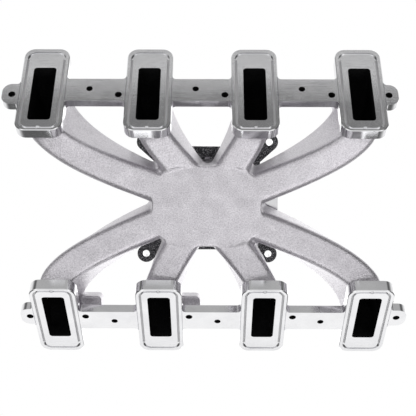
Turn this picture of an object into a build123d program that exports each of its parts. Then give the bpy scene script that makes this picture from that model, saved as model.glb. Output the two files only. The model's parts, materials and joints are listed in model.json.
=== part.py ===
from build123d import *
import os
from math import copysign, cos, radians, sin

os.makedirs("parts", exist_ok=True)

# Intake manifold for a V8 engine: a square four-barrel flange on top, one open
# plenum chamber and eight runners to two tilted rows of four tall ports.
#
# Row frame: origin at the centre of the carburettor flange's top face, +Z up as
# installed, +X towards the front of the engine, +Y towards the left bank.
# The right bank is the left bank turned half a turn about Z.

# Cylinder layout
port_pitch = 111.76
bank_shift = 5.5
face_tilt = radians(40)
port_centre_y = 120.3
port_centre_z = -106.9
port_count = 4

# Ports and their flanges, in the plane of the port face: x along the engine,
# v outwards and up from the port centre, n inwards through the flange
port_width = 24.0
port_height = 71.0
port_corner = 3.5
pad_width = 49.0
pad_low = -49.0
pad_high = 63.0
pad_corner = 11.5
pad_thickness = 13.0
face_chamfer = 0.8

# Seal groove round each port
groove_span = 39.0
groove_low = -45.5
groove_high = 56.5
groove_width = 2.6
groove_depth = 2.0
groove_corner = 8.0
groove_nub_radius = 2.2

# Rail webs between the port flanges, and the tabs at the rail ends
web_low = -10.0
web_high = 20.0
web_thickness = 9.5
web_corner = 4.0
tab_low = -14.5
tab_high = 12.5
tab_end_radius = 10.0
tab_corner = 3.0
outer_tab_reach = 42.0
inner_tab_reach = 38.3
bolt_hole_radius = 3.7
bolt_v = -1.6
bolt_offset = 31.6
end_bolt_offset = 28.4
mid_hole_radius = 3.4
mid_hole_v = 6.4
mid_hole_offset = 49.4

# Carburettor flange
flange_length = 122.0
flange_width = 121.0
flange_corner = 10.0
flange_thickness = 17.0
stud_spacing_x = 142.875
stud_spacing_y = 130.96
stud_hole_radius = 4.0
ear_radius = 10.3
ear_root_x = 52.0
ear_root_y = 48.0
throat_length = 100.0
throat_width_top = 88.0
throat_width_bottom = 76.0
throat_corner = 16.0
flange_boss_radius = 8.4
flange_boss_y = 58.0
flange_boss_height = 7.0

# Plenum chamber
chamber_length = 118.0
chamber_width = 87.0
chamber_corner = 34.0
wall = 5.0
floor_z = -101.4
floor_thickness = 6.0

# Runners: outer section (bottom width, top width, height) at port and at plenum
port_section = (31.0, 40.0, 81.0)
hub_section = (33.0, 42.0, 53.0)
port_runner_corner = 5.0
hub_runner_corner = 8.0
port_passage = (port_width, port_height, port_corner)
hub_passage = (26.0, 43.0, 7.0)
upright_rate = 0.35
section_count = 8
entry_length = 28.0
entry_steps = 2
joint_reach = 80.0
joint_span = 40.0

# Each runner of the left bank, from the rear port to the front one: the plan
# point where it meets the plenum, the plan bearing there, and how far the curve
# holds its direction at the port and at the plenum
runner_layout = [
    ((-60.8, 21.5), 156.6, 62.0, 384.0),
    ((-23.8, 36.8), 121.0, 90.0, 150.0),
    ((20.8, 33.8), 49.8, 91.0, 156.0),
    ((61.9, 23.6), 21.4, 100.0, 317.0),
]
# Plan bearings of the joints between neighbouring runners of the left bank
joint_bearings = [180.0, 143.0, 90.0, 37.0, 0.0]

# Fuel rail lugs
lug_start = 20.0
lug_end = 43.0
lug_low_y = 107.0
lug_high_y = 125.0
lug_bottom = -62.0
lug_top = -38.0
lug_corner = 5.0
lug_hole_x = 34.0
lug_hole_radius = 2.6
lug_hole_depth = 18.0
lug_stations = [0, 1]
lug_count = len(lug_stations)

# Vacuum port boss
boss_reach = 80.0
boss_width = 26.0
boss_bottom = -46.0
boss_top = -24.0
boss_chamfer = 3.0
boss_hole_radius = 7.35
boss_hole_z = -35.0

up = Vector(0, 0, 1)


def station(index):
    """Distance of a left port along the engine, from the rear port to the front."""
    return bank_shift + (index - (port_count - 1) / 2) * port_pitch


# Plane of the left bank's port faces: x along the engine, y outwards, z inwards
face = Plane(
    origin=(0, port_centre_y, port_centre_z),
    x_dir=(1, 0, 0),
    z_dir=(0, -sin(face_tilt), cos(face_tilt)),
)


def between(first, last, share):
    """Sizes part of the way from one section to another."""
    return [a + (b - a) * share for a, b in zip(first, last)]


def runner_frames(index):
    """Section planes along a left runner, each with its share of the way, 0 to 1."""
    (hub_x, hub_y), bearing, port_hold, hub_hold = runner_layout[index]
    start = face.from_local_coords(Vector(station(index), 0, pad_thickness))
    end = Vector(hub_x, hub_y, floor_z + hub_section[2] / 2)
    heading = Vector(-cos(radians(bearing)), -sin(radians(bearing)), 0)
    path = Bezier(
        start,
        start + face.z_dir * (port_hold / 3),
        end - heading * (hub_hold / 3),
        end,
    )
    frames = []
    for step in range(section_count):
        share = step / (section_count - 1)
        tangent = path % share
        upright = share**upright_rate
        lean = face.y_dir * (1 - upright) + up * upright
        across = lean.cross(tangent)
        frames.append((Plane(origin=path @ share, x_dir=across, z_dir=tangent), share))
    for step in range(1, entry_steps + 1):
        inside = end + heading * (entry_length * step / entry_steps)
        frames.append((Plane(origin=inside, x_dir=up.cross(heading), z_dir=heading), 1.0))
    return frames


def make_passage(index):
    """The air's way through a left runner, as a solid to cut with."""
    with BuildPart() as passage:
        for plane, share in runner_frames(index):
            width, height, corner = between(port_passage, hub_passage, share)
            with BuildSketch(plane):
                RectangleRounded(width, height, corner)
        loft()
    return passage.part


def make_blank(index):
    """A left runner's outer shape: a loft of rounded sections wider at the top."""
    with BuildPart() as blank:
        for plane, share in runner_frames(index):
            bottom, top, height = between(port_section, hub_section, share)
            corner = port_runner_corner + (hub_runner_corner - port_runner_corner) * share
            with BuildSketch(plane):
                with BuildLine():
                    Polyline(
                        (-bottom / 2, -height / 2),
                        (bottom / 2, -height / 2),
                        (top / 2, height / 2),
                        (-top / 2, height / 2),
                        close=True,
                    )
                make_face()
                fillet(vertices(), corner)
        loft()
    return blank.part


def save(part, name):
    part.label = name
    export_step(part, f"parts/{name}.step")
    print(name, round(part.volume), "solids", len(part.solids()))


def save_both(part, name, number, count):
    """Write a left bank part, and its half-turned copy for the right bank.

    Numbers run from the front on both banks, so they run opposite ways.
    """
    save(part, f"left_{name}_{number}")
    save(part.rotate(Axis.Z, 180), f"right_{name}_{count + 1 - number}")


# Plenum envelope, taller than the chamber, used to cut the runners off at it
with BuildPart() as envelope:
    with BuildSketch(Plane.XY.offset(floor_z - wall)):
        RectangleRounded(chamber_length, chamber_width, chamber_corner)
    extrude(amount=wall - floor_z)

# Runners: each blank is cut back at the chamber and, on flat joints, at its
# neighbours on both sides, and then hollowed by its passage
passages = []
runners = []
for index in range(port_count):
    passage = make_passage(index)
    neighbour_sectors = [
        (joint_bearings[index], joint_bearings[index] + joint_span),
        (joint_bearings[index + 1] - joint_span, joint_bearings[index + 1]),
    ]
    with BuildPart() as runner:
        add(make_blank(index))
        add(envelope.part, mode=Mode.SUBTRACT)
        for low, high in neighbour_sectors:
            with BuildSketch(Plane.XY.offset(floor_z - wall)):
                with BuildLine():
                    Polyline(
                        (0, 0),
                        Vector(joint_reach, 0).rotate(Axis.Z, low),
                        Vector(joint_reach, 0).rotate(Axis.Z, high),
                        close=True,
                    )
                make_face()
            extrude(amount=-floor_z, mode=Mode.SUBTRACT)
        add(passage, mode=Mode.SUBTRACT)
    passages += [passage, passage.rotate(Axis.Z, 180)]
    runners.append(runner.part)
    save_both(runner.part, "runner", port_count - index, port_count)

# Plenum chamber walls, open to every runner and to the rear port
with BuildPart() as plenum_chamber:
    with BuildSketch(Plane.XY.offset(floor_z + floor_thickness)):
        RectangleRounded(chamber_length, chamber_width, chamber_corner)
        offset(amount=-wall, mode=Mode.SUBTRACT)
    extrude(amount=-flange_thickness - floor_z - floor_thickness)
    for passage in passages:
        add(passage, mode=Mode.SUBTRACT)
    with Locations((chamber_length / 2, 0, boss_hole_z)):
        Cylinder(boss_hole_radius, 4 * wall, rotation=(0, 90, 0), mode=Mode.SUBTRACT)
save(plenum_chamber.part, "plenum_chamber")

with BuildPart() as plenum_floor:
    with BuildSketch(Plane.XY.offset(floor_z)):
        RectangleRounded(chamber_length, chamber_width, chamber_corner)
    extrude(amount=floor_thickness)
save(plenum_floor.part, "plenum_floor")

# Carburettor flange with its four stud ears and tapered throat
with BuildPart() as carburettor_flange:
    with BuildSketch(Plane.XY.offset(-flange_thickness)):
        RectangleRounded(flange_length, flange_width, flange_corner)
        for sx, sy in [(-1, -1), (1, -1), (1, 1), (-1, 1)]:
            with BuildSketch(mode=Mode.PRIVATE) as ear:
                with Locations((sx * stud_spacing_x / 2, sy * stud_spacing_y / 2)):
                    Circle(ear_radius)
                with Locations((sx * ear_root_x, sy * ear_root_y)):
                    Circle(ear_radius)
                make_hull()
            add(ear.sketch)
    extrude(amount=flange_thickness)
    with BuildSketch(Plane.XY):
        RectangleRounded(throat_length, throat_width_top, throat_corner)
    with BuildSketch(Plane.XY.offset(-flange_thickness)):
        RectangleRounded(throat_length, throat_width_bottom, throat_corner)
    loft(mode=Mode.SUBTRACT)
    with BuildSketch(Plane.XY):
        with GridLocations(stud_spacing_x, stud_spacing_y, 2, 2):
            Circle(stud_hole_radius)
    extrude(amount=-flange_thickness, mode=Mode.SUBTRACT)
save(carburettor_flange.part, "carburettor_flange")

# Small rounded boss under the right-hand edge of the flange
with BuildPart() as flange_boss:
    with BuildSketch(Plane.XY.offset(-flange_thickness)):
        with Locations((0, -flange_boss_y)):
            Circle(flange_boss_radius)
        with Locations((0, -flange_width / 2 - flange_boss_radius)):
            Rectangle(4 * flange_boss_radius, 2 * flange_boss_radius, mode=Mode.SUBTRACT)
    extrude(amount=-flange_boss_height)
save(flange_boss.part, "flange_boss")

# Boss at the front end of the chamber, drilled through into it
with BuildPart() as vacuum_port_boss:
    with BuildSketch(Plane.YZ.offset(chamber_length / 2 - wall)):
        with Locations((0, (boss_bottom + boss_top) / 2)):
            Rectangle(boss_width, boss_top - boss_bottom)
        chamfer(vertices(), boss_chamfer)
    extrude(amount=boss_reach - chamber_length / 2 + wall)
    add(envelope.part, mode=Mode.SUBTRACT)
    with Locations((boss_reach, 0, boss_hole_z)):
        Cylinder(boss_hole_radius, boss_reach, rotation=(0, 90, 0), mode=Mode.SUBTRACT)
save(vacuum_port_boss.part, "vacuum_port_boss")

# Port flanges, each with its seal groove and port
pad_middle = (pad_low + pad_high) / 2
pad_height = pad_high - pad_low
groove_middle = (groove_low + groove_high) / 2
groove_height = groove_high - groove_low
for index in range(port_count):
    x = station(index)
    with BuildPart() as port_flange:
        with BuildSketch(face):
            with Locations((x, pad_middle)):
                RectangleRounded(pad_width, pad_height, pad_corner)
        extrude(amount=pad_thickness)
        outline = faces().sort_by(Axis(face.origin, face.z_dir))[0].edges()
        chamfer(outline, face_chamfer)
        with BuildSketch(face):
            with Locations((x, groove_middle)):
                RectangleRounded(
                    groove_span + groove_width,
                    groove_height + groove_width,
                    groove_corner + groove_width / 2,
                )
                RectangleRounded(
                    groove_span - groove_width,
                    groove_height - groove_width,
                    groove_corner - groove_width / 2,
                    mode=Mode.SUBTRACT,
                )
            with Locations((x, groove_low)):
                Circle(groove_nub_radius)
        extrude(amount=groove_depth, mode=Mode.SUBTRACT)
        with BuildSketch(face):
            with Locations((x, 0)):
                RectangleRounded(port_width, port_height, port_corner)
        extrude(amount=pad_thickness, mode=Mode.SUBTRACT)
    save_both(port_flange.part, "port_flange", port_count - index, port_count)

# Webs between the port flanges, with a bolt hole near one and a hole between. The
# sketch holds the neighbouring flanges while its inside corners are rounded.
web_count = port_count - 1
web_middle = (web_low + web_high) / 2
for index in range(web_count):
    start_x = station(index) + pad_width / 2
    end_x = station(index + 1) - pad_width / 2
    flange_places = [(station(index), pad_middle), (station(index + 1), pad_middle)]
    with BuildPart() as rail_web:
        with BuildSketch(face):
            with Locations(((start_x + end_x) / 2, web_middle)):
                Rectangle(end_x - start_x, web_high - web_low)
            with Locations(flange_places):
                RectangleRounded(pad_width, pad_height, pad_corner)
            roots = vertices().sort_by(lambda corner: abs(corner.Y - web_middle))[:4]
            fillet(roots, web_corner)
            with Locations(flange_places):
                Rectangle(pad_width, pad_height, mode=Mode.SUBTRACT)
            with Locations((station(index) + bolt_offset, bolt_v)):
                Circle(bolt_hole_radius, mode=Mode.SUBTRACT)
            with Locations((station(index + 1) - mid_hole_offset, mid_hole_v)):
                Circle(mid_hole_radius, mode=Mode.SUBTRACT)
        extrude(amount=web_thickness)
    save_both(rail_web.part, "rail_web", web_count - index, web_count)

# Bolt tabs at the two ends of each rail
tab_middle = (tab_low + tab_high) / 2
front_x = station(port_count - 1)
rear_x = station(0)
tabs = [
    ("front", "rear", front_x, outer_tab_reach, bolt_offset),
    ("rear", "front", rear_x, -inner_tab_reach, -end_bolt_offset),
]
for end_name, other_end_name, flange_x, reach, hole_offset in tabs:
    tip_x = flange_x + reach
    root_x = flange_x + copysign(pad_width / 2, reach)
    with BuildPart() as tab:
        with BuildSketch(face):
            with Locations(((flange_x + tip_x) / 2, tab_middle)):
                Rectangle(abs(reach), tab_high - tab_low)
            corners = vertices().sort_by(lambda corner: abs(corner.X - tip_x))[:2]
            fillet(corners, tab_end_radius)
            with Locations((flange_x, pad_middle)):
                RectangleRounded(pad_width, pad_height, pad_corner)
            roots = vertices().sort_by(
                lambda corner: abs(corner.X - root_x) + abs(corner.Y - tab_middle)
            )[:2]
            fillet(roots, tab_corner)
            with Locations((flange_x, pad_middle)):
                Rectangle(pad_width, pad_height, mode=Mode.SUBTRACT)
            with Locations((flange_x + hole_offset, bolt_v)):
                Circle(bolt_hole_radius, mode=Mode.SUBTRACT)
        extrude(amount=web_thickness)
    save(tab.part, f"left_rail_{end_name}_tab")
    save(tab.part.rotate(Axis.Z, 180), f"right_rail_{other_end_name}_tab")

# Fuel rail lugs on the sides of the two rear runners of the left bank
for index in lug_stations:
    with BuildPart() as lug:
        with BuildSketch(Plane.XY.offset(lug_bottom)):
            with Locations((station(index) + (lug_start + lug_end) / 2, (lug_low_y + lug_high_y) / 2)):
                Rectangle(lug_end - lug_start, lug_high_y - lug_low_y)
            outer_corners = vertices().sort_by(Axis.X)[-2:]
            fillet(outer_corners, lug_corner)
        extrude(amount=lug_top - lug_bottom)
        add(make_blank(index), mode=Mode.SUBTRACT)
        with BuildSketch(Plane.XY.offset(lug_top)):
            with Locations((station(index) + lug_hole_x, (lug_low_y + lug_high_y) / 2)):
                Circle(lug_hole_radius)
        extrude(amount=-lug_hole_depth, mode=Mode.SUBTRACT)
    save_both(lug.part, "fuel_rail_lug", lug_count - index, lug_count)
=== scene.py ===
import json
import math

import bpy
import numpy as np
import openvdb as vdb
from mathutils import Euler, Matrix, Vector

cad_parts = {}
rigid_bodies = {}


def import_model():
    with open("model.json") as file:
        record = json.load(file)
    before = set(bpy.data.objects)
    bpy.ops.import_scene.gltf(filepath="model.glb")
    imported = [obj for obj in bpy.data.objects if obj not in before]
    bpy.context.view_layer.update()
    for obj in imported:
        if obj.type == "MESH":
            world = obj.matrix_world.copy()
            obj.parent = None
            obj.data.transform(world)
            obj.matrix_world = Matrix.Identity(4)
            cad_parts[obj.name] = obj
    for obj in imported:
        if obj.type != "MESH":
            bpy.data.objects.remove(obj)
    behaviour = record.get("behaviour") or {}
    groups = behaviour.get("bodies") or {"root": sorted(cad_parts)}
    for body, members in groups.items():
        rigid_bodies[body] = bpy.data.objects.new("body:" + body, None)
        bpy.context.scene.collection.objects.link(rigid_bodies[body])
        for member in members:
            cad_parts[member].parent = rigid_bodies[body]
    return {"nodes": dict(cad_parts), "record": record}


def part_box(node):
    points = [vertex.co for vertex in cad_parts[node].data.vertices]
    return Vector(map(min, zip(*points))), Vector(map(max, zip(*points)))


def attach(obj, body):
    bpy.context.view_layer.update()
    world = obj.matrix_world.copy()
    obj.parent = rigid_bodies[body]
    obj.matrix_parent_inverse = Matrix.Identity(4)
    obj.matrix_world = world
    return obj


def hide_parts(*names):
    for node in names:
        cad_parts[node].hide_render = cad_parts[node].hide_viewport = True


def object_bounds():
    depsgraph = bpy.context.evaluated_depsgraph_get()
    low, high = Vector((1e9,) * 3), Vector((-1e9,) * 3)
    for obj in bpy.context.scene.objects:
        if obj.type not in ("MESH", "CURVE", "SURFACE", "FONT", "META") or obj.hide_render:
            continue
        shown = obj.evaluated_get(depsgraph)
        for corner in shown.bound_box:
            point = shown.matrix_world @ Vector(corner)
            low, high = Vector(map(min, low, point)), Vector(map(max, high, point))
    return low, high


for starter in list(bpy.data.objects):
    bpy.data.objects.remove(starter)
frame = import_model()
cad_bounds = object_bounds()
nodes = frame["nodes"]

# The cast body is rebuilt here as one smooth skin with a fillet in every inside
# corner, and split again into one closed piece per CAD node. The flanges, webs,
# tabs and the vacuum port boss stay CAD nodes. Lengths are millimetres until a
# mesh is made.
MM = 0.001

# Left and right bank, as the sign of their side
SIDES = (1, -1)

# Skin
VOXEL = 1.0
FILLET = 3.0
BAND = FILLET + 3.5
MARGIN = 10
SEAT_GAP = 0.25
SEAT_CATCH = 0.9
SEAT_DEPTH = 0.1
SKIN_TURN = 0.75

# Splits
RUNNER_COUNT = 4
JOINT_BEARINGS = [0, 37, 90, 143, 180]
JOINT_REACH = 80.0
OUTER_REACH = 240.0
CHAMBER_CORNER = 34.0
CHAMBER_SKIN = 1.5
FLOOR_SKIN = 1.0
BOSS_SKIN = 1.2
SPLIT_LOW = -150.0
SPLIT_HIGH = 5.0

CAST_WORDS = ("runner", "lug", "flange_boss", "plenum")
SEPARATE_WORDS = ("web", "tab", "vacuum")
cast_names = [name for name in nodes if any(word in name for word in CAST_WORDS)]
support_names = [name for name in nodes if name not in cast_names]


def box_mm(name):
    """Lowest and highest corner of a CAD node in millimetres."""
    low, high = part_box(name)
    return low / MM, high / MM


mounts = {mount["name"]: mount for mount in frame["record"]["mounts"]}
face_point = Vector(mounts["left_port_face"]["pos_m"]) / MM
face_outward = Vector(mounts["left_port_face"]["axis"])
pad_depth = 13.0
SPLIT_DEPTH = 40.0
port_places = {
    opening["name"].replace("port", "port_flange"): sum(map(Vector, opening["box_m"]), Vector()) / 2
    for opening in frame["record"]["physics"]["openings"]
}
flange_bottom = box_mm("carburettor_flange")[0].z
stations = [
    sum(corner.x for corner in box_mm(f"left_port_flange_{number}")) / 2
    for number in range(1, RUNNER_COUNT + 1)
]

# ---------------------------------------------------------------- distance fields

first_cell = np.floor(np.array(cad_bounds[0]) / MM / VOXEL).astype(int) - MARGIN
last_cell = np.ceil(np.array(cad_bounds[1]) / MM / VOXEL).astype(int) + MARGIN
cell_counts = last_cell - first_cell
first_cell_index = tuple(int(i) for i in first_cell)
grid_transform = vdb.createLinearTransform(voxelSize=VOXEL)


def triangles_of(name):
    """Points in millimetres and triangles of a CAD node."""
    mesh = nodes[name].data
    points = np.empty(len(mesh.vertices) * 3, np.float32)
    mesh.vertices.foreach_get("co", points)
    mesh.calc_loop_triangles()
    corners = np.empty(len(mesh.loop_triangles) * 3, np.int32)
    mesh.loop_triangles.foreach_get("vertices", corners)
    return points.reshape(-1, 3) / np.float32(MM), corners.reshape(-1, 3).astype(np.uint32)


def field_of(points, **polygons):
    """Signed distance to a closed surface, sampled over the whole box."""
    grid = vdb.FloatGrid.createLevelSetFromPolygons(
        points, transform=grid_transform, halfWidth=BAND / VOXEL, **polygons
    )
    field = np.empty(cell_counts, np.float32)
    grid.copyToArray(field, ijk=first_cell_index)
    return field


def surface_of(field, level):
    """Points in millimetres and quads of the surface where a field has a level."""
    grid = vdb.FloatGrid(BAND)
    grid.transform = grid_transform
    grid.copyFromArray(field, ijk=first_cell_index)
    points, quads = grid.convertToQuads(isovalue=level)
    return np.ascontiguousarray(points, np.float32), np.ascontiguousarray(quads, np.uint32)


def blurred(field, passes):
    """A field smoothed by a short binomial blur along each axis."""
    for _ in range(passes):
        for axis in range(3):
            before = np.roll(field, 1, axis)
            after = np.roll(field, -1, axis)
            field = field * 0.5 + (before + after) * 0.25
    return field


skin_names = [name for name in nodes if not any(word in name for word in SEPARATE_WORDS)]
union = np.full(cell_counts, BAND, np.float32)
for name in skin_names:
    points, triangles = triangles_of(name)
    np.minimum(union, field_of(points, triangles=triangles), out=union)

# Closing: grown by the fillet radius and shrunk again, so inside corners fill up
grown_points, grown_quads = surface_of(union, FILLET)
skin = field_of(grown_points, quads=grown_quads) + np.float32(FILLET)
skin = blurred(skin, 2)

axis_x, axis_y, axis_z = [
    (first_cell[axis] + np.arange(cell_counts[axis], dtype=np.float32)) * np.float32(VOXEL)
    for axis in range(3)
]
grid_y = axis_y[None, :, None]
grid_z = axis_z[None, None, :]


def face_depth(side, y, z):
    """Depth behind the port faces of the left bank (side 1) or right bank (-1)."""
    return -(face_outward.y * (side * y - face_point.y) + face_outward.z * (z - face_point.z))


body = np.maximum(skin, grid_z - (flange_bottom - SEAT_GAP))
for side in SIDES:
    np.maximum(body, pad_depth + SEAT_GAP - face_depth(side, grid_y, grid_z), out=body)
body_points, body_quads = surface_of(body, 0.0)

# The seats against the machined parts are flattened and let in by a hair
near = body_points[:, 2] > flange_bottom - SEAT_CATCH
body_points[near, 2] = flange_bottom + SEAT_DEPTH
for side in SIDES:
    depth = face_depth(side, body_points[:, 1], body_points[:, 2])
    near = depth < pad_depth + SEAT_CATCH
    lift = (depth[near] - (pad_depth - SEAT_DEPTH))[:, None]
    body_points[near] += lift * np.array([0, side * face_outward.y, face_outward.z], np.float32)


def sampled(values, points):
    """Trilinear samples of a grid at points in millimetres."""
    place = points / VOXEL - first_cell
    cell = np.clip(np.floor(place).astype(int), 0, cell_counts - 2)
    part = place - cell
    total = 0
    for corner in np.ndindex(2, 2, 2):
        weight = np.prod(np.where(corner, part, 1 - part), axis=1)
        index = tuple((cell + corner).T)
        total = total + values[index] * weight
    return total


def slopes_at(points):
    """Unit outward directions of the skin at points in millimetres."""
    step = VOXEL * 0.75
    slopes = np.empty((len(points), 3))
    for axis in range(3):
        shift = np.zeros(3)
        shift[axis] = step
        slopes[:, axis] = sampled(skin, points + shift) - sampled(skin, points - shift)
    return slopes / np.maximum(np.linalg.norm(slopes, axis=1), 1e-6)[:, None]


# ------------------------------------------------------------------------- splits


def mesh_object(name, points, polygons):
    """An object from points in metres and polygons of any size."""
    mesh = bpy.data.meshes.new(name)
    mesh.from_pydata(points, [], polygons)
    mesh.update()
    piece = bpy.data.objects.new(name, mesh)
    bpy.context.scene.collection.objects.link(piece)
    return piece


def quad_object(name, points, quads):
    """An object from arrays of points in metres and quads."""
    mesh = bpy.data.meshes.new(name)
    mesh.vertices.add(len(points))
    mesh.vertices.foreach_set("co", np.ascontiguousarray(points, np.float32).ravel())
    mesh.loops.add(quads.size)
    mesh.loops.foreach_set("vertex_index", quads.astype(np.int32).ravel())
    mesh.polygons.add(len(quads))
    mesh.polygons.foreach_set("loop_start", np.arange(0, quads.size, 4, dtype=np.int32))
    mesh.update(calc_edges=True)
    mesh.validate()
    piece = bpy.data.objects.new(name, mesh)
    bpy.context.scene.collection.objects.link(piece)
    return piece


def prism(outline, low, high):
    """A closed upright prism over a plan outline in millimetres."""
    count = len(outline)
    points = [(x * MM, y * MM, z * MM) for z in (low, high) for x, y in outline]
    sides = [(i, (i + 1) % count, count + (i + 1) % count, count + i) for i in range(count)]
    ends = [tuple(reversed(range(count))), tuple(range(count, 2 * count))]
    return mesh_object("cutter", points, sides + ends)


def rounded_outline(half_x, half_y, corner, steps=12):
    """A plan outline of a rectangle with round corners."""
    outline = []
    for quarter in range(4):
        sign_x = 1 if quarter in (0, 3) else -1
        sign_y = 1 if quarter in (0, 1) else -1
        for step in range(steps + 1):
            angle = math.radians(90 * (quarter + step / steps))
            x = sign_x * (half_x - corner) + corner * math.cos(angle)
            y = sign_y * (half_y - corner) + corner * math.sin(angle)
            outline.append((x, y))
    return outline


def box_outline(low_x, high_x, low_y, high_y):
    """A plan outline of a rectangle."""
    return [(low_x, low_y), (high_x, low_y), (high_x, high_y), (low_x, high_y)]


def turned(outline):
    """A plan outline half a turn round, for the right bank."""
    return [(-x, -y) for x, y in outline]


def cut(piece, cutter, operation):
    """A new object: piece and cutter combined by a boolean operation."""
    modifier = piece.modifiers.new("split", "BOOLEAN")
    modifier.operation = operation
    modifier.solver = "MANIFOLD"
    modifier.object = cutter
    graph = bpy.context.evaluated_depsgraph_get()
    mesh = bpy.data.meshes.new_from_object(piece.evaluated_get(graph))
    piece.modifiers.remove(modifier)
    part = bpy.data.objects.new("part", mesh)
    bpy.context.scene.collection.objects.link(part)
    return part


def discard(piece):
    """Removes an object and its mesh."""
    mesh = piece.data
    bpy.data.objects.remove(piece)
    bpy.data.meshes.remove(mesh)


def taken(rest, cutter, name):
    """Splits what is inside the cutter off rest. Returns the piece and the new rest."""
    piece = cut(rest, cutter, "INTERSECT")
    piece.name = piece.data.name = name
    left_over = cut(rest, cutter, "DIFFERENCE")
    discard(rest)
    discard(cutter)
    return piece, left_over


rest = quad_object("body", body_points * MM, body_quads)
pieces = {}

chamber_high = box_mm("plenum_chamber")[1]
floor_split = box_mm("plenum_floor")[1].z + FLOOR_SKIN
chamber_outline = rounded_outline(
    chamber_high.x + CHAMBER_SKIN, chamber_high.y + CHAMBER_SKIN, CHAMBER_CORNER + CHAMBER_SKIN
)
pieces["plenum_floor"], rest = taken(
    rest, prism(chamber_outline, SPLIT_LOW, floor_split), "plenum_floor_skin"
)
pieces["plenum_chamber"], rest = taken(
    rest, prism(chamber_outline, floor_split, SPLIT_HIGH), "plenum_chamber_skin"
)
for name in [n for n in cast_names if "flange_boss" in n or "lug" in n]:
    low, high = box_mm(name)
    outline = box_outline(
        low.x - BOSS_SKIN * (low.x < 0),
        high.x + BOSS_SKIN * (high.x > 0),
        low.y - BOSS_SKIN,
        high.y + BOSS_SKIN,
    )
    cutter = prism(outline, low.z - BOSS_SKIN, high.z + BOSS_SKIN)
    pieces[name], rest = taken(rest, cutter, f"{name}_skin")

# Sectors between neighbouring runners, numbered from the front of the left bank
joints = []
for number in range(1, RUNNER_COUNT):
    bearing = math.radians(JOINT_BEARINGS[number])
    hub = (JOINT_REACH * math.cos(bearing), JOINT_REACH * math.sin(bearing))
    gap_x = (stations[number - 1] + stations[number]) / 2
    joints.append([hub, (gap_x, face_point.y - SPLIT_DEPTH), (gap_x, OUTER_REACH)])
joints.insert(0, [(OUTER_REACH, 0), (OUTER_REACH, OUTER_REACH)])
joints.append([(-OUTER_REACH, 0), (-OUTER_REACH, OUTER_REACH)])
for number in range(1, RUNNER_COUNT + 1):
    outline = [(0, 0)] + joints[number - 1] + joints[number][::-1]
    for name, plan in (
        (f"left_runner_{number}", outline),
        (f"right_runner_{RUNNER_COUNT + 1 - number}", turned(outline)),
    ):
        pieces[name], rest = taken(rest, prism(plan, SPLIT_LOW, SPLIT_HIGH), f"{name}_skin")
discard(rest)

# -------------------------------------------------------------------- inner faces

# Air that can be reached from outside with the ports, throat and vacuum hole plugged.
# What faces any other air is the inside of the casting, which gets the near-black painted shade.
AIR_STEP = 2
PLUG_START = 2.0
PLUG_END = 7.0
WALL_PLUG = 12.0
PROBE = 3.0

air = skin[::AIR_STEP, ::AIR_STEP, ::AIR_STEP] > 0
air_x, air_y, air_z = [
    axis[::AIR_STEP].reshape([-1 if i == place else 1 for i in range(3)])
    for place, axis in enumerate((axis_x, axis_y, axis_z))
]
for side in SIDES:
    depth = face_depth(side, air_y, air_z)
    air &= ~((depth > PLUG_START) & (depth < PLUG_END))
air &= ~((air_z > -PLUG_END) & (air_z < -PLUG_START))
hole = mounts["vacuum_port"]
_, hole_y, hole_z = (c / MM for c in hole["pos_m"])
hole_reach = hole["dims"]["r_mm"] + AIR_STEP
air &= ~(
    (abs(air_x - chamber_high.x) < WALL_PLUG)
    & (abs(air_y - hole_y) < hole_reach)
    & (abs(air_z - hole_z) < hole_reach)
)


def spread(reached, axis):
    """Carries reached air along every unbroken row of air in one direction."""
    rows = np.moveaxis(air, axis, -1)
    marks = np.moveaxis(reached, axis, -1)
    runs = np.cumsum(~rows.ravel()).reshape(rows.shape)
    runs += np.arange(rows[..., 0].size).reshape(rows.shape[:-1])[..., None]
    full = np.bincount(runs.ravel(), weights=marks.ravel()) > 0
    return np.moveaxis(full[runs] & rows, -1, axis)


outside = np.zeros_like(air)
for axis in range(3):
    np.moveaxis(outside, axis, 0)[[0, -1]] = True
outside &= air
count = 0
while outside.sum() > count:
    count = outside.sum()
    for axis in range(3):
        outside = spread(outside, axis)


def vectors_of(items, attribute):
    """One vector attribute of mesh vertices or polygons, as rows of an array."""
    values = np.empty(len(items) * 3, np.float32)
    items.foreach_get(attribute, values)
    return values.reshape(-1, 3)


def finish_mesh(piece):
    """Smooth shading along the skin, and the inner faces in the second slot."""
    mesh = piece.data
    points = vectors_of(mesh.vertices, "co") / MM
    normals = vectors_of(mesh.polygons, "normal")
    centres = vectors_of(mesh.polygons, "center") / MM
    totals = np.empty(len(mesh.polygons), np.int32)
    mesh.polygons.foreach_get("loop_total", totals)
    corners = np.empty(len(mesh.loops), np.int32)
    mesh.loops.foreach_get("vertex_index", corners)

    face_of_corner = np.repeat(np.arange(len(totals)), totals)
    slopes = slopes_at(points)[corners]
    flat = normals[face_of_corner]
    on_skin = (slopes * flat).sum(axis=1) > SKIN_TURN
    mesh.polygons.foreach_set("use_smooth", np.ones(len(totals), bool))
    mesh.normals_split_custom_set(np.where(on_skin[:, None], slopes, flat))

    # Faces inside the passages go in the second slot, the near-black painted shade.
    inner = np.ones(len(totals), bool)
    for reach in (PROBE, 2 * PROBE):
        cell = ((centres + normals * reach) / VOXEL - first_cell) / AIR_STEP
        cell = np.clip(np.rint(cell).astype(int), 0, np.array(outside.shape) - 1)
        inner &= ~outside[tuple(cell.T)]
    mesh.polygons.foreach_set("material_index", inner.astype(np.int32))


# ---------------------------------------------------------------------- materials


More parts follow.
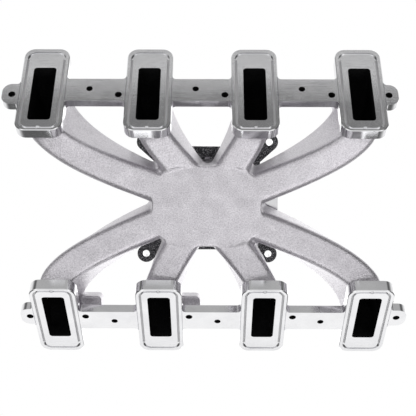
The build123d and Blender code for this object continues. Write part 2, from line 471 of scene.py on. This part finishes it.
class Shader:
    """A material made of nodes, read from its surface socket backwards."""

    def __init__(self, name):
        self.material = bpy.data.materials.new(name)
        self.material.use_nodes = True
        self.tree = self.material.node_tree
        self.surface = self.tree.nodes["Principled BSDF"]
        self.place = self.tree.nodes.new("ShaderNodeTexCoord").outputs["Object"]

    def add(self, kind, **inputs):
        node = self.tree.nodes.new(f"ShaderNode{kind}")
        self.fill(node, inputs)
        return node

    def fill(self, node, inputs):
        for name, value in inputs.items():
            socket = node.inputs[name.replace("_", " ")]
            if isinstance(value, bpy.types.NodeSocket):
                self.tree.links.new(value, socket)
            else:
                socket.default_value = value

    def noise(self, scale, detail=2.0, roughness=0.5):
        node = self.add(
            "TexNoise", Vector=self.place, Scale=scale, Detail=detail, Roughness=roughness
        )
        return node.outputs["Fac"]

    def cells(self, scale):
        node = self.add("TexVoronoi", Vector=self.place, Scale=scale)
        return node.outputs["Distance"]

    def ranged(self, value, low, high, start, end):
        """A value from low to high carried to one from start to end."""
        node = self.add("MapRange")
        names = ("Value", "From Min", "From Max", "To Min", "To Max")
        self.fill(node, dict(zip(names, (value, low, high, start, end))))
        return node.outputs["Result"]

    def ramp(self, value, *stops):
        node = self.add("ValToRGB", Fac=value)
        node.color_ramp.elements[0].position = stops[0][0]
        node.color_ramp.elements[1].position = stops[-1][0]
        for place, _ in stops[1:-1]:
            node.color_ramp.elements.new(place)
        for element, (_, colour) in zip(node.color_ramp.elements, stops):
            element.color = (*colour, 1)
        return node.outputs["Color"]

    def math(self, operation, first, second):
        node = self.add("Math")
        node.operation = operation
        for socket, value in zip(node.inputs, (first, second)):
            if isinstance(value, bpy.types.NodeSocket):
                self.tree.links.new(value, socket)
            else:
                socket.default_value = value
        return node.outputs["Value"]

    def bump(self, height, distance, strength, under=None):
        inputs = {"Height": height, "Distance": distance, "Strength": strength}
        if under is not None:
            inputs["Normal"] = under
        return self.add("Bump", **inputs).outputs["Normal"]


def cast_aluminium():
    """Shot-blasted casting: fine dimples, a light sparkle and cloudy patches."""
    shader = Shader("cast_aluminium")
    grain = shader.noise(750, 3.0, 0.6)
    patches = shader.noise(60, 4.0, 0.6)
    dimples = shader.cells(520)
    fine = shader.math("MULTIPLY", grain, 0.7)
    broad = shader.math("MULTIPLY", patches, 0.3)
    tone = shader.math("ADD", fine, broad)
    colour = shader.ramp(
        tone, (0.3, (0.40, 0.385, 0.41)), (0.5, (0.62, 0.60, 0.635)), (0.72, (0.86, 0.84, 0.875))
    )
    relief = shader.bump(dimples, 0.0005, 0.35)
    relief = shader.bump(grain, 0.0006, 0.45, relief)
    shader.fill(
        shader.surface,
        {
            "Base Color": colour,
            "Metallic": 0.85,
            "Roughness": shader.ranged(patches, 0.3, 0.7, 0.3, 0.4),
            "Normal": relief,
        },
    )
    return shader.material


def machined_aluminium(name, low, high):
    """Milled faces: fine straight cutter marks and faint stains under the shine."""
    shader = Shader(name)
    stretched = shader.add("Mapping", Vector=shader.place, Scale=(40, 2500, 2500))
    marks = shader.add("TexNoise", Vector=stretched.outputs["Vector"], Scale=1.0, Detail=3.0)
    stains = shader.noise(35, 4.0, 0.6)
    colour = shader.ramp(stains, (0.3, (0.74, 0.74, 0.755)), (0.7, (0.86, 0.86, 0.87)))
    shader.fill(
        shader.surface,
        {
            "Base Color": colour,
            "Metallic": 1.0,
            "Roughness": shader.ranged(stains, 0.3, 0.7, low, high),
            "Normal": shader.bump(marks.outputs["Fac"], 0.0002, 0.05),
        },
    )
    return shader.material


def sand_cast_painted_shade():
    """The rough unblasted skin under the carburettor flange, painted near-black as shade, with
    bright grit specks.
    """
    shader = Shader("sand_cast_painted_shade")
    grit = shader.noise(900, 4.0, 0.65)
    lumps = shader.cells(420)
    # Mostly near-black, which is painted shade under the flange; the bright stop is the grit.
    colour = shader.ramp(
        grit, (0.38, (0.03, 0.03, 0.032)), (0.52, (0.10, 0.10, 0.105)), (0.66, (0.62, 0.62, 0.64))
    )
    relief = shader.bump(lumps, 0.0008, 0.6)
    relief = shader.bump(grit, 0.0008, 0.7, relief)
    shader.fill(
        shader.surface,
        {
            "Base Color": colour,
            "Metallic": 0.7,
            "Roughness": shader.ranged(lumps, 0.0, 0.6, 0.45, 0.7),
            "Normal": relief,
        },
    )
    return shader.material


def passage_painted_shade():
    """Painted shade: a near-black colour inside the passages and bores, over the dull grit that the
    sand cores leave.
    """
    shader = Shader("passage_painted_shade")
    grit = shader.noise(500, 4.0, 0.6)
    shade_patches = shader.noise(40, 3.0, 0.5)
    tone = shader.math("MULTIPLY", grit, shade_patches)
    # A near-black colour that stands in for the shade deep in the passages; the patches vary this
    # painted shade.
    colour = shader.ramp(tone, (0.12, (0.003, 0.003, 0.0033)), (0.45, (0.012, 0.012, 0.0125)))
    shader.fill(
        shader.surface,
        {
            "Base Color": colour,
            "Specular IOR Level": 0.03,
            "Roughness": shader.ranged(shade_patches, 0.3, 0.7, 0.75, 0.9),
            "Normal": shader.bump(grit, 0.0008, 0.5),
        },
    )
    return shader.material


def floor_paint():
    """Pale satin floor. Seen from below it lets the view through."""
    shader = Shader("floor_paint")
    cloud = shader.noise(3, 3.0, 0.5)
    colour = shader.ramp(cloud, (0.3, (0.80, 0.80, 0.80)), (0.7, (0.84, 0.84, 0.84)))
    shader.fill(shader.surface, {"Base Color": colour, "Roughness": 0.6})
    below = shader.add("NewGeometry").outputs["Backfacing"]
    clear = shader.add("BsdfTransparent").outputs["BSDF"]
    mix = shader.add("MixShader", Fac=below)
    shader.tree.links.new(shader.surface.outputs["BSDF"], mix.inputs[1])
    shader.tree.links.new(clear, mix.inputs[2])
    shader.tree.links.new(mix.outputs[0], shader.tree.nodes["Material Output"].inputs["Surface"])
    return shader.material


cast = cast_aluminium()
machined = machined_aluminium("machined_aluminium", 0.06, 0.11)
groove = machined_aluminium("groove_aluminium", 0.4, 0.5)
sand_cast_shade = sand_cast_painted_shade()
passage_shade = passage_painted_shade()

for name, piece in pieces.items():
    piece.data.materials.clear()
    # The flange boss skin takes the sand-cast colour, which is darkened as painted shade under the
    # flange.
    piece.data.materials.append(sand_cast_shade if name == "flange_boss" else cast)
    # The second slot is the near-black painted shade of the passages.
    piece.data.materials.append(passage_shade)
    finish_mesh(piece)
    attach(piece, "root")
    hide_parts(name)

# Slots of a machined node's mesh
# The second slot paints port and bore walls near-black as shade. The third is the sand-cast skin,
# which is darkened as painted shade under the flange.
MACHINED, PAINTED_SHADE, ROUGH_PAINTED_SHADE, GROOVED = range(4)
UNDERSIDE = -0.5
PORT_HALF_WIDTH = 12.3
PORT_HALF_HEIGHT = 35.8
GROOVE_HALF_WIDTH = 20.0
GROOVE_HALF_HEIGHT = 42.0
PORT_DEEP = 1.5
GROOVE_SHALLOW = 0.1
GROOVE_DEEP = 2.6


def flange_slot(name, point):
    """Material slot of a point in metres on a port flange: face, port wall or groove."""
    side = 1 if name.startswith("left") else -1
    place = point - port_places[name]
    across = abs(place.x) / MM
    along = abs(place.z * face_outward.y - side * place.y * face_outward.z) / MM
    depth = face_depth(side, point.y / MM, point.z / MM)
    if across < PORT_HALF_WIDTH and along < PORT_HALF_HEIGHT:
        # Port walls deeper than the face get the near-black painted shade.
        return PAINTED_SHADE if depth > PORT_DEEP else MACHINED
    inside = across < GROOVE_HALF_WIDTH and along < GROOVE_HALF_HEIGHT
    return GROOVED if inside and GROOVE_SHALLOW < depth < GROOVE_DEEP else MACHINED


BORE_SLACK = 0.4
BORE_TURN = 0.4
BEVEL_WIDTH = 0.0007
BEVEL_ANGLE = 35
BEVEL_SEGMENTS = 2
bores = [mount for mount in mounts.values() if mount["kind"] == "bore"]


def in_bore(point, turn):
    """Whether a face, by its centre in metres and normal, is on the wall of a bore."""
    for bore in bores:
        axis = Vector(bore["axis"])
        offset = point - Vector(bore["pos_m"])
        radius = (offset - axis * offset.dot(axis)).length / MM
        on_wall = abs(radius - bore["dims"]["r_mm"]) < BORE_SLACK
        if on_wall and abs(turn.dot(axis)) < BORE_TURN:
            return True
    return False


for name in support_names:
    node = nodes[name]
    mesh = node.data
    mesh.materials.clear()
    for material in (machined, passage_shade, sand_cast_shade, groove):
        mesh.materials.append(material)
    for polygon in mesh.polygons:
        polygon.material_index = MACHINED
        # Down-facing faces of the carburettor flange take the sand-cast colour, which is darkened
        # as painted shade.
        if name == "carburettor_flange" and polygon.normal.z < UNDERSIDE:
            polygon.material_index = ROUGH_PAINTED_SHADE
        elif "port_flange" in name:
            polygon.material_index = flange_slot(name, polygon.center)
        elif name.startswith(("left", "right")) and in_bore(polygon.center, polygon.normal):
            # Walls of bolt holes get the near-black painted shade.
            polygon.material_index = PAINTED_SHADE
    bevel = node.modifiers.new("deburred_edges", "BEVEL")
    bevel.width = BEVEL_WIDTH
    bevel.segments = BEVEL_SEGMENTS
    bevel.limit_method = "ANGLE"
    bevel.angle_limit = math.radians(BEVEL_ANGLE)

# ------------------------------------------------------------ floor, light, camera

FLOOR_SIZE = 6.0
FLOOR_GAP = 0.001
CAMERA_PLACE = (0.0064, -0.1130, -1.0386)
CAMERA_TURN = (173.0502, -0.3273, -0.1659)
LENS = 76.26

lowest = cad_bounds[0].z - FLOOR_GAP
floor = mesh_object(
    "floor",
    [(x * FLOOR_SIZE / 2, y * FLOOR_SIZE / 2, lowest) for x, y in box_outline(-1, 1, -1, 1)],
    [(0, 1, 2, 3)],
)
floor.data.materials.append(floor_paint())
floor.visible_diffuse = False
floor.visible_glossy = False
floor.visible_transmission = False
floor.visible_shadow = False

FAINT_GLOW = 0.12

world = bpy.data.worlds.new("studio")
bpy.context.scene.world = world
world.use_nodes = True
tree = world.node_tree
tree.nodes.clear()


def world_node(kind, **inputs):
    """A node of the world's tree, with values or sockets as its inputs."""
    node = tree.nodes.new(f"ShaderNode{kind}")
    for name, value in inputs.items():
        socket = node.inputs[name.replace("_", " ")]
        if isinstance(value, bpy.types.NodeSocket):
            tree.links.new(value, socket)
        else:
            socket.default_value = value
    return node


direction = world_node("TexCoord").outputs["Generated"]
axes = world_node("SeparateXYZ", Vector=direction).outputs


def world_math(operation, first, second):
    """The output of a math node in the world's tree."""
    node = tree.nodes.new("ShaderNodeMath")
    node.operation = operation
    for socket, value in zip(node.inputs, (first, second)):
        if isinstance(value, bpy.types.NodeSocket):
            tree.links.new(value, socket)
        else:
            socket.default_value = value
    return node.outputs[0]


def part_of_sky(axis, start, end, strength):
    """Light that fades in along one axis of the direction, from start to end."""
    node = world_node(
        "MapRange", Value=axes[axis], From_Min=start, From_Max=end, To_Max=strength
    )
    node.interpolation_type = "SMOOTHSTEP"
    return node.outputs["Result"]


def ring(inner, outer, soft_edge, strength):
    """A ring of light round the downward direction, between two heights."""
    return world_math(
        "MULTIPLY",
        part_of_sky("Z", inner - soft_edge, inner + soft_edge, strength),
        part_of_sky("Z", outer + soft_edge, outer - soft_edge, 1.0),
    )


def times(*parts):
    """Light in every one of the parts at once."""
    product = parts[0]
    for part in parts[1:]:
        product = world_math("MULTIPLY", product, part)
    return product


# Below, above, the panel that the left bank's faces mirror, and the one that the
# right bank's mirror, with a sharp lower edge and a brighter strip along it
sky_parts = [
    part_of_sky("Z", -0.6, -0.9, 0.72),
    ring(-0.9, -0.6, 0.08, 0.45),
    part_of_sky("Z", 0.2, 0.6, 0.85),
    times(
        part_of_sky("Y", 0.6, 0.97, 0.97),
        part_of_sky("Z", -0.2, 0.0, 1.0),
        part_of_sky("Z", 0.16, 0.11, 1.0),
    ),
    times(
        part_of_sky("Y", -0.75, -0.9, 0.25),
        part_of_sky("Z", -0.153, -0.147, 1.0),
        part_of_sky("Z", 0.3, 0.1, 1.0),
    ),
    times(
        part_of_sky("Y", -0.75, -0.9, 0.5),
        part_of_sky("Z", -0.153, -0.147, 1.0),
        part_of_sky("Z", -0.12, -0.147, 1.0),
    ),
    part_of_sky("Y", -0.75, -0.9, 0.1),
]
glow = FAINT_GLOW
for part in sky_parts:
    glow = world_math("ADD", part, glow)
soft = world_node("Background", Color=(1, 1, 1, 1), Strength=glow)
backdrop = world_node("Background", Color=(1, 1, 1, 1), Strength=1.0)
seen = world_node("LightPath").outputs["Is Camera Ray"]
blend = world_node("MixShader", Fac=seen)
tree.links.new(soft.outputs[0], blend.inputs[1])
tree.links.new(backdrop.outputs[0], blend.inputs[2])
tree.links.new(blend.outputs[0], world_node("OutputWorld").inputs["Surface"])


def area_light(name, place, size, power, target=(0, 0, -0.07)):
    """A soft panel that faces the object and isn't itself in view."""
    data = bpy.data.lights.new(name, "AREA")
    data.shape = "RECTANGLE"
    data.size, data.size_y = size
    data.energy = power
    light = bpy.data.objects.new(name, data)
    bpy.context.scene.collection.objects.link(light)
    light.location = place
    light.rotation_euler = (Vector(target) - Vector(place)).to_track_quat("-Z", "Y").to_euler()
    light.visible_camera = False


area_light("key_panel", (0.3, 0.9, -1.1), (1.2, 0.8), 2.5)
area_light("fill_panel", (-1.2, -0.6, -0.6), (0.8, 0.8), 1.2)
area_light("top_panel", (0.2, 0.4, 1.4), (1.6, 1.2), 5)

camera_data = bpy.data.cameras.new("camera")
camera_data.sensor_width = 36.0
camera_data.lens = LENS
camera_data.clip_start = 0.05
camera = bpy.data.objects.new("camera", camera_data)
bpy.context.scene.collection.objects.link(camera)
camera.location = CAMERA_PLACE
camera.rotation_euler = Euler([math.radians(angle) for angle in CAMERA_TURN])
bpy.context.scene.camera = camera
bpy.context.scene.view_settings.view_transform = "Standard"
